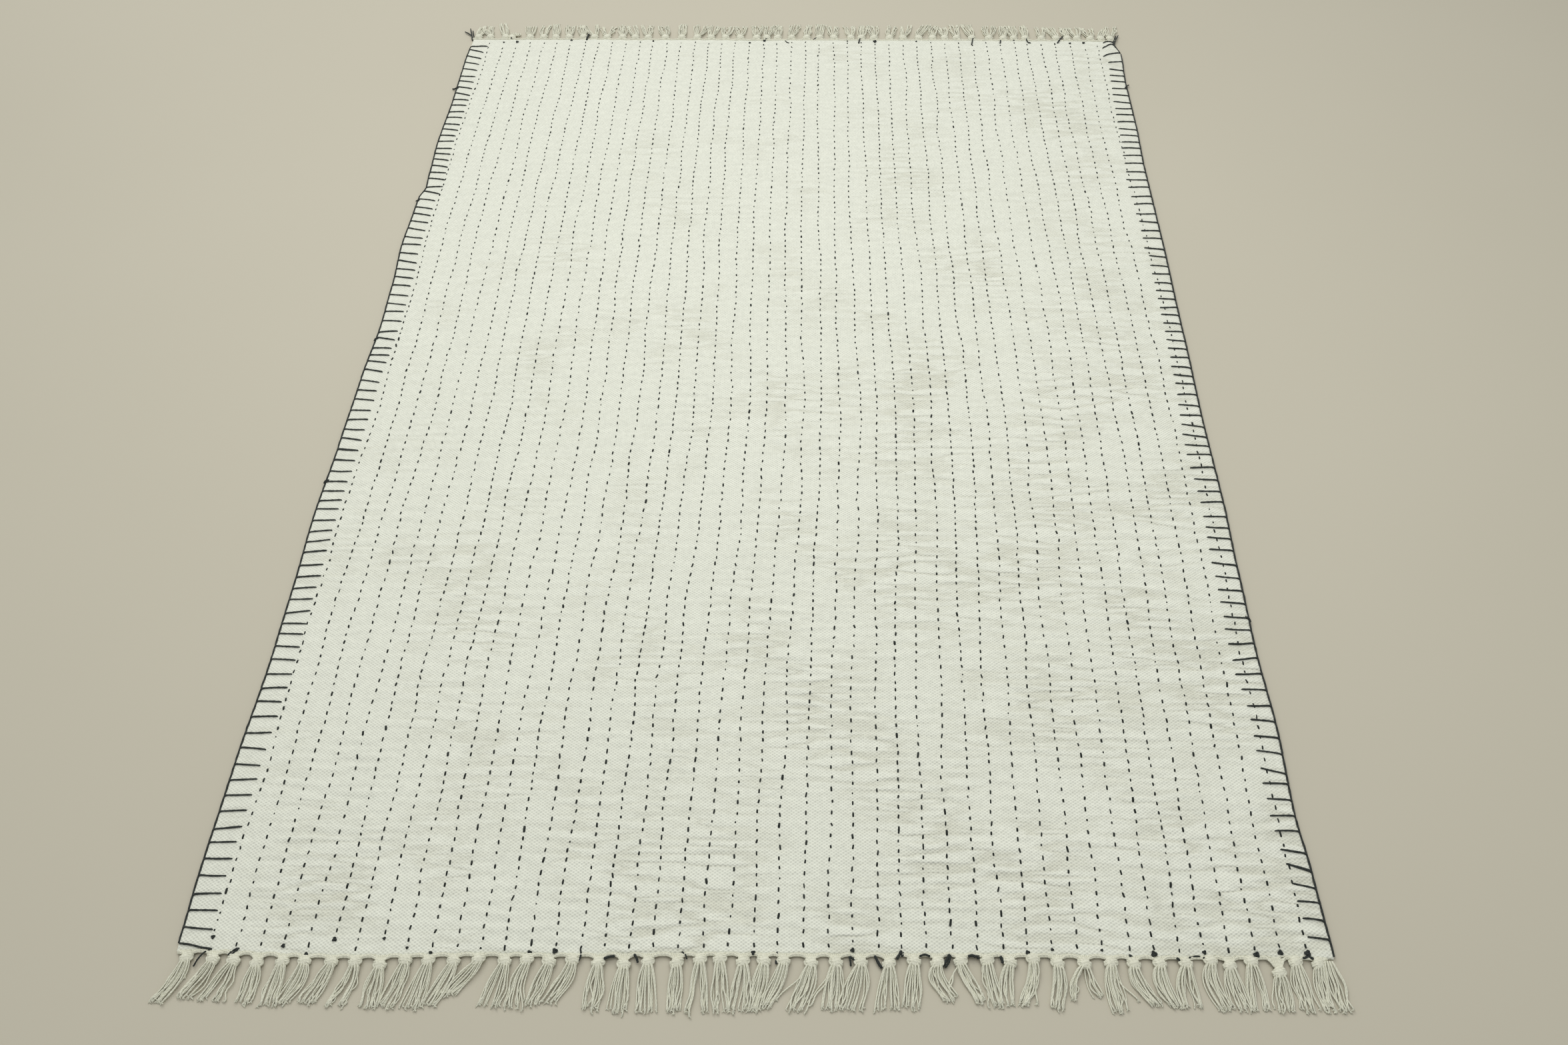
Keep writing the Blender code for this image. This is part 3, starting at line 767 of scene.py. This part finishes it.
def add_bar(threads, side, place, rise, reach, dice):
    """One bar: the thread leaves the cord at the edge, crosses the cloth and goes into it."""
    bend = dice.gauss(0.0, 0.0004)
    path = []
    for share in np.linspace(0.0, 1.0, 11):
        inward = reach * share - 0.0006
        x = float(edge_line(place, side)) - side * inward
        y = place + rise * share + bend * math.sin(math.pi * share)
        lift = THREAD_RADIUS * 0.80 * min(1.0, 0.2 + share * 9.0)
        z = float(rug_top(min(x, 0.7) if side > 0 else x, y)) + lift
        path.append((x, y, z))
    path[0] = (path[0][0], path[0][1] - 0.0010, 0.0030)
    radius = THREAD_RADIUS * dice.uniform(0.94, 1.16)
    path = sink_ends(path, radius, False, True)
    sizes = uneven(radius, len(path), dice, 0.17)
    sizes[-2] *= 0.85
    sizes[-1] *= 0.7
    threads.add(path, sizes, sides=8)


def make_blanket_stitch(name, side, material):
    """The thread along one long edge, with its bars over the cloth and into it."""
    dice = random.Random(3 if side < 0 else 4)
    threads = Strands()
    bars, reaches = (LEFT_BARS, LEFT_REACH) if side < 0 else (RIGHT_BARS, RIGHT_REACH)
    roots = [root for root, _ in bars]
    stations = [roots[0] - 0.0200] + roots + [roots[-1] + (0.0120 if side < 0 else 0.0340)]
    cord = []
    for place, following in zip(stations, stations[1:]):
        for share in (0.0, 0.12, 0.35, 0.65, 0.88):  # close together beside each bar
            along = place + (following - place) * share
            swell = math.sin(math.pi * share)
            out = float(edge_line(along, side)) + side * (0.0005 * swell + 0.0003)
            cord.append((out + dice.gauss(0.0, 0.00016), along, 0.0032 - 0.0005 * swell))
    threads.add(cord, uneven(THREAD_RADIUS * 1.10, len(cord), dice, 0.09), sides=8)
    for root, rise in bars:
        reach = float(read_table(reaches, root, 1)) * dice.uniform(0.97, 1.03)
        add_bar(threads, side, root, rise, reach, dice)
        if root in DOUBLED_BARS:
            add_bar(threads, side, root - 0.0012, rise + 0.0014, reach * 0.98, dice)
    threads.build(name, material)


def tie_knot(threads, x, y, height, size, dice):
    """A small tight knot of the dark thread."""
    turned = dice.uniform(0.0, 2 * math.pi)
    path = []
    for turn in np.linspace(0.2, 2 * math.pi - 0.2, 17):
        across = (math.sin(turn) + 2.0 * math.sin(2 * turn)) / 3.0 * size
        along = (math.cos(turn) - 2.0 * math.cos(2 * turn)) / 3.0 * size
        path.append((x + across * math.cos(turned) - along * math.sin(turned),
                     y + across * math.sin(turned) + along * math.cos(turned),
                     height + size * 0.40 * (1.0 - math.sin(3 * turn) * 0.7)))
    threads.add(path, size * 0.44, sides=8)


def make_thread_ends(name, rows, material):
    """The knots at the ends of the rows, the loose tails and the corners' own threads."""
    dice = random.Random(19)
    threads = Strands()
    for side, knots, tails in ((-1, NEAR_KNOTS, NEAR_TAILS), (1, FAR_KNOTS, FAR_TAILS)):
        for row, *sizes in knots:
            inward, size = metres(tuple(sizes))
            x = rows[row][0](side * 0.99)
            y = float(hem_line(x, side)) - side * inward
            height = float(rug_top(x, y)) if inward > 0 else 0.0030
            tie_knot(threads, x, y, height, size * 0.80, dice)
        for radius, *points in tails:
            path = []
            for x, out in smooth_path(points, 4):
                y = float(hem_line(x, side)) + side * out
                if out < 0:
                    height = float(rug_top(x, y)) + 0.8 * radius
                else:
                    height = 0.0048 - 0.0026 * min(1.0, out / 0.012) + 0.6 * radius
                path.append((x, y, height))
            path = sink_ends(path, radius, points[0][1] < 0, points[-1][1] < 0)
            threads.add(path, uneven(radius, len(path), dice), sides=7)
    for side, tails in ((-1, LEFT_TAILS), (1, RIGHT_TAILS)):
        for radius, *points in tails:
            path = []
            for out, y in smooth_path(points, 4):
                height = 0.0050 - 0.0026 * min(1.0, max(out, 0.0) / 0.006)
                path.append((float(edge_line(y, side)) + side * out, y, height))
            threads.add(path, uneven(radius, len(path), dice), sides=7)
            tie_knot(threads, path[0][0], path[0][1], 0.0032, 0.0017, dice)
    for radius, *points in CORNER_THREADS:
        path = [(x, y, float(rug_top(x, y)) + 0.8 * radius) for x, y in smooth_path(points, 4)]
        path = sink_ends(path, radius, False, True)
        threads.add(path, uneven(radius, len(path), dice), sides=8)
    threads.build(name, material)


# The fringe

def whole_rows(table):
    """A table of tassels in metres, with the zeros that its rows leave out."""
    rows = [row + (0, 0)[len(row) - 5:] for row in table]
    return [metres(row[:6]) + row[6:] for row in rows]


def knotted(tassels):
    """The places across the rug of the tassels that have a knot."""
    return [tassel[0] for tassel in tassels if tassel[1] > 0.0025]


def make_knot(strands, place, knot, out, dice):
    """A knot of the gathered yarn: a round lump with a few thick turns of yarn over it."""
    lump = np.array(((-1.0, 0.50), (-0.62, 0.86), (0.0, 1.0), (0.62, 0.88), (1.0, 0.55)))
    core = [place(knot, out + KNOT_HALF_LENGTH * share, KNOT_HEIGHT * 0.45) for share in lump[:, 0]]
    strands.add(core, KNOT_HALF_WIDTH * 0.88 * lump[:, 1], sides=12, flatten=0.66)
    lay = dice.choice((-1, 1)) * dice.uniform(0.25, 0.80)
    for turn in range(KNOT_TURNS):
        share = 2.0 * turn / (KNOT_TURNS - 1) - 1.0
        swell = dice.uniform(0.95, 1.06)
        wrap = []
        for angle in np.linspace(-0.40, math.pi + 0.40, 10):
            across = math.cos(angle)
            narrow = 1.0 - 0.30 * abs(across) ** 1.5
            along = KNOT_HALF_LENGTH * (0.80 * share * narrow + lay * across * 0.62)
            wide = KNOT_HALF_WIDTH * 0.84 * across * (1.0 - 0.22 * share * share) * swell
            round_up = math.sin(angle) * math.sqrt(1.0 - 0.55 * share * share) * swell
            height = KNOT_HEIGHT * (0.38 + 0.42 * round_up)
            wrap.append(place(knot + wide, out + along, max(height, 0.0014)))
        strands.add(wrap, 0.00175 * dice.uniform(0.92, 1.1), sides=7)
    collar = []
    for angle in np.linspace(-0.15, math.pi + 0.15, 10):
        wide = math.cos(angle) * KNOT_HALF_WIDTH * 0.86
        along = KNOT_HALF_LENGTH * (-0.10 + 0.90 * math.sin(angle))
        collar.append(place(knot + wide, out + along, 0.0036 + 0.0014 * math.sin(angle)))
    strands.add(collar, 0.0018 * dice.uniform(0.9, 1.15), sides=7)


def make_gathers(strands, place, knot, out, knots, dice):
    """The warp yarns that follow the hem's small arches and run into the knot."""
    number = knots.index(knot)
    before = (knot - knots[number - 1]) / 2 if number else 0.0130
    after = (knots[number + 1] - knot) / 2 if number + 1 < len(knots) else 0.0110
    shares = [2.0 * number / (GATHER_YARNS - 1) - 1.0 for number in range(GATHER_YARNS)]
    top = out - KNOT_HALF_LENGTH * 0.55
    for layer, share in [(0, share) for share in shares] + [(1, -1.0), (1, 1.0)]:
        half = before if share < 0 else after
        outer = share * share
        stop = share * KNOT_HALF_WIDTH * 0.80
        path = []
        for step in np.linspace(0.0, 1.0, 8):
            away = share * half * (1.0 - step) + stop * step
            bay = float(bays(knot + away, knots, HEM_BAY))
            nearness = max(0.0, 1.0 - abs(away) / 0.0128)
            arch = 0.0008 - bay + max(out - 0.0036, 0.0) * nearness ** 1.6 + 0.0015 * layer
            straight = -0.0012 + (top + 0.0012) * step
            height = 0.0031 + 0.0016 * step * step + 0.0005 * math.sin(math.pi * step)
            height += dice.uniform(-0.0002, 0.0002) - 0.0007 * layer
            path.append(place(knot + away, straight + (arch - straight) * outer, height))
        radius = YARN_RADIUS * dice.uniform(1.0, 1.2)
        strands.add(path, np.linspace(1.45, 1.0, 8) * radius, sides=6)


def lay_yarn(strands, place, root, tip, bow, layer, dice):
    """One loose yarn on the floor, from its root to its frayed tip, both as (across, out)."""
    curl = dice.gauss(0.0, 0.0017)
    wave = dice.uniform(0.7, 1.9)
    phase = dice.uniform(0.0, 6.3)
    radius = YARN_RADIUS * dice.uniform(0.88, 1.14)
    path = []
    for step in np.linspace(0.0, 1.0, 11):
        across = root[0] + (tip[0] - root[0]) * step
        across += curl * step * math.sin(2 * math.pi * wave * step + phase)
        across += bow * math.sin(math.pi * step ** 0.85)
        along = root[1] + (tip[1] - root[1]) * step
        rest = radius + layer * radius * 1.5 * (1.0 - 0.55 * step)
        path.append(place(across, along, rest + 0.0030 * (1.0 - step) ** 2))
    strands.add(path, [radius] * 10 + [radius * 1.25], sides=6)
    end = path[-1]
    for _ in range(3):
        further = tip[1] + dice.uniform(0.0012, 0.0034)
        height = max(0.0005, end[2] + dice.uniform(-0.0010, 0.0006))
        last = place(tip[0] + dice.uniform(-0.0024, 0.0024), further, height)
        middle = tuple(a * 0.45 + b * 0.55 for a, b in zip(end, last))
        strands.add((end, middle, last), (0.00078, 0.00064, 0.00028), sides=4)


def make_skirt(strands, place, tassel, dice):
    """The loose yarns that leave a knot and lie spread on the floor."""
    knot, out, left, right, reach, bow, parted = tassel
    bulge = dice.uniform(0.45, 0.95)
    for number in range(SKIRT_YARNS):
        share = number / (SKIRT_YARNS - 1)
        spread = share * (1.0 - parted) + (parted if share > 0.5 else 0.0)
        tip = (left + (right - left) * spread + dice.gauss(0.0, 0.0016),
               reach - 0.0015 + dice.gauss(0.0, 0.0020))
        root = (knot + (share - 0.5) * KNOT_HALF_WIDTH * 1.2, out + KNOT_HALF_LENGTH * 0.55)
        fan = 0.0075 * (share - 0.5) * bulge
        lay_yarn(strands, place, root, tip, bow * 0.8 + fan, (number * 5) % 3, dice)


def make_hem(strands, place, knots):
    """Two fine twined yarns along the hem that lock the last row of weft."""
    for start in (0.0, math.pi):
        path = []
        for across in np.arange(knots[0] - 0.0120, knots[-1] + 0.0110, 0.0016):
            turn = 2 * math.pi * across / 0.0070 + start
            out = 0.0005 * math.cos(turn) - 0.0006 - float(bays(across, knots, HEM_BAY))
            path.append(place(across, out, 0.0033 + 0.0005 * math.sin(turn)))
        strands.add(path, YARN_RADIUS * 0.70, sides=5)


def make_fringe(end, node, side, tassels, strays, material):
    """All that hangs from one hem: the tied yarn and the loose yarn, which stands for the node."""
    dice = random.Random(111 if side < 0 else 123)
    tied, loose = Strands(), Strands()

    def place(across, out, height):
        hem = float(hem_line(across, side))
        return (across, hem + side * out, height)

    knots = knotted(tassels)
    for tassel in tassels:
        knot, out = tassel[:2]
        if knot in knots:
            make_gathers(tied, place, knot, out, knots, dice)
            make_knot(tied, place, knot, out, dice)
        make_skirt(loose, place, tassel, dice)
    for knot, out, tip, reach, bow in strays:
        lay_yarn(loose, place, (knot, out + KNOT_HALF_LENGTH * 0.55), (tip, reach), bow, 1, dice)
    make_hem(tied, place, knots)
    pieces = [loose.build("yarns_" + end, material), tied.build("knots_" + end, material)]
    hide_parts(node)
    return pieces


# The floor, light and camera

def make_floor():
    """A wide pale floor just under the rug."""
    bpy.ops.mesh.primitive_plane_add(size=14.0, location=(0.0, 0.0, -0.0002))
    floor = bpy.context.object
    floor.name = "floor"
    floor.data.materials.append(floor_finish())


def area_light(name, place, target, size, power, colour=(1.0, 1.0, 1.0)):
    """A soft square light that faces a place."""
    light = bpy.data.lights.new(name, "AREA")
    light.shape = "SQUARE"
    light.size = size
    light.energy = power
    light.color = colour
    lamp = bpy.data.objects.new(name, light)
    lamp.location = place
    lamp.rotation_euler = (Vector(target) - Vector(place)).to_track_quat("-Z", "Y").to_euler()
    bpy.context.scene.collection.objects.link(lamp)


def make_light():
    """Even daylight, a little stronger from the far left."""
    world = bpy.data.worlds.new("studio")
    world.use_nodes = True
    sky = world.node_tree.nodes["Background"]
    sky.inputs["Color"].default_value = (0.985, 0.99, 1.0, 1.0)
    sky.inputs["Strength"].default_value = 0.53
    bpy.context.scene.world = world
    area_light("window", place=(-2.3, 4.3, 4.1), target=(0.0, 0.3, 0.0), size=3.0, power=130.0,
               colour=(1.0, 0.993, 0.97))
    area_light("fill", place=(0.1, 0.15, 2.1), target=(0.1, 0.15, 0.0), size=2.4, power=24.5)
    bpy.context.scene.view_settings.view_transform = "Standard"
    bpy.context.scene.view_settings.look = "None"


def make_camera():
    """The photograph's own view: above the near end, looking down along the rug."""
    pitch, yaw, roll = (math.radians(a) for a in (CAMERA_PITCH, CAMERA_YAW, CAMERA_ROLL))
    forward = Vector((math.sin(yaw) * math.cos(pitch), math.cos(yaw) * math.cos(pitch),
                      -math.sin(pitch)))
    level = Vector((math.cos(yaw), -math.sin(yaw), 0.0))
    down = forward.cross(level)
    right = level * math.cos(roll) + down * math.sin(roll)
    below = down * math.cos(roll) - level * math.sin(roll)
    turn = Matrix((right, -below, -forward)).transposed().to_4x4()
    camera = bpy.data.objects.new("camera", bpy.data.cameras.new("camera"))
    camera.data.lens = CAMERA_LENS
    camera.data.sensor_width = 36.0
    camera.data.clip_start = 0.05
    camera.matrix_world = Matrix.Translation(CAMERA_PLACE) @ turn
    bpy.context.scene.collection.objects.link(camera)
    bpy.context.scene.camera = camera


def main():
    """The whole scene: the cloth first, because all the rest lies on it or beside it."""
    make_camera()
    make_light()
    make_floor()
    near, far = whole_rows(NEAR_TASSELS), whole_rows(FAR_TASSELS)
    cloth = make_cloth(cotton_cloth(), knotted(near), knotted(far))
    stitch = dark_stitch()
    dice = random.Random(41)
    rows = [plan_row(number, dice) for number in range(STITCH_ROWS)]
    third = STITCH_ROWS // 3
    for number, part in enumerate(("left", "middle", "right")):
        make_stitches("stitches_" + part, rows[number * third:(number + 1) * third], stitch)
    thread = plied("dark thread", light=(0.031, 0.036, 0.032, 1.0), dark=(0.012, 0.015, 0.013, 1.0),
                   ply_length=0.0034, roughness=0.85, sheen=0.08)
    make_blanket_stitch("blanket_stitch_left", -1, thread)
    make_blanket_stitch("blanket_stitch_right", 1, thread)
    make_thread_ends("thread_ends", rows, thread)
    yarn = plied("cotton yarn", light=(0.735, 0.732, 0.595, 1.0), dark=(0.500, 0.498, 0.385, 1.0),
                 ply_length=0.0046, roughness=0.9, sheen=0.15)
    fringes = make_fringe("near", "fringe_near", -1, near, NEAR_STRAYS, yarn)
    fringes += make_fringe("far", "fringe_far", 1, far, (), yarn)


main()
